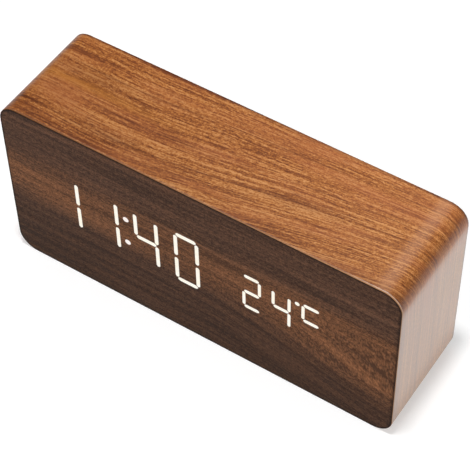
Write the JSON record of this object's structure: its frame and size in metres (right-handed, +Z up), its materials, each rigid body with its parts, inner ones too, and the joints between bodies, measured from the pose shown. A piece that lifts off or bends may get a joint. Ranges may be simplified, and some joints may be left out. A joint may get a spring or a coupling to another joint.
{
  "type": "digital alarm clock",
  "caption": "Free-standing alarm clock in a wood-look rectangular case with rounded corners, lit digits that show through the front, and push buttons and a battery door at the back.",
  "frame": {"origin": "centre of the base, on the surface that the clock stands on", "axes": "+Z up, the lit front faces -Y, +X to the right as seen from the front"},
  "size_m": [0.15, 0.0414, 0.071],
  "materials": {
    "case_film": "satin wood-grain film",
    "front_film": "satin dark wood-grain film",
    "fibreboard": "raw",
    "block_wood": "raw",
    "lit_white": "lit",
    "lit_pink": "lit",
    "diffuser": "satin",
    "white_moulding": "satin",
    "led_resin": "gloss",
    "board_green": "solder mask",
    "black_plastic": "satin",
    "cover_plastic": "fine spark texture",
    "button_plastic": "satin",
    "header_plastic": "satin",
    "ribbon_grey": "satin",
    "lead_red": "satin",
    "lead_black": "satin",
    "steel": "plated",
    "capacitor_can": "satin",
    "cell_jacket": "plain film jacket",
    "sensor_resin": "gloss"
  },
  "bodies": {
    "case": {"case_sleeve": "fibreboard", "case_film": "case_film", "base_film": "case_film", "corner_blocks": "block_wood", "front_panel": "fibreboard", "front_film": "front_film", "diffuser_sheet": "diffuser", "light_box": "white_moulding", "lit_time_digits": "lit_white", "lit_colon": "lit_pink", "lit_temperature": "lit_white", "led_chips": "led_resin", "display_board": "board_green", "display_screws": "steel", "clock_chip": "black_plastic", "quartz_crystal": "steel", "drive_transistors": "black_plastic", "smoothing_capacitor": "capacitor_can", "lead_header": "header_plastic", "ribbon_headers": "header_plastic", "ribbon": "ribbon_grey", "red_lead": "lead_red", "black_lead": "lead_black", "buzzer_leads": "lead_black", "key_board": "board_green", "key_board_screws": "steel", "key_switches": "black_plastic", "socket_shell": "steel", "socket_tongue": "black_plastic", "temperature_sensor": "sensor_resin", "buzzer": "black_plastic", "rear_cover": "cover_plastic", "cover_screws": "steel", "battery_cells": "cell_jacket", "cell_springs": "steel", "cell_contacts": "steel"},
    "set_key": {"set_button": "button_plastic", "set_plunger": "black_plastic"},
    "up_key": {"up_button": "button_plastic", "up_plunger": "black_plastic"},
    "down_key": {"down_button": "button_plastic", "down_plunger": "black_plastic"},
    "door": {"battery_door": "cover_plastic"}
  },
  "joints": [
    {"name": "set_press", "type": "slide", "parent": "case", "child": "set_key", "axis": [0, -1, 0], "range_m": [0, 0.0005], "stiffness_N_per_m": 2000},
    {"name": "up_press", "type": "slide", "parent": "case", "child": "up_key", "axis": [0, -1, 0], "range_m": [0, 0.0005], "stiffness_N_per_m": 2000},
    {"name": "down_press", "type": "slide", "parent": "case", "child": "down_key", "axis": [0, -1, 0], "range_m": [0, 0.0005], "stiffness_N_per_m": 2000},
    {"name": "door_swing", "type": "hinge", "parent": "case", "child": "door", "pos_m": [0.028, 0.01805, 0.01895], "axis": [-1, 0, 0], "range_deg": [0, 90]}
  ]
}
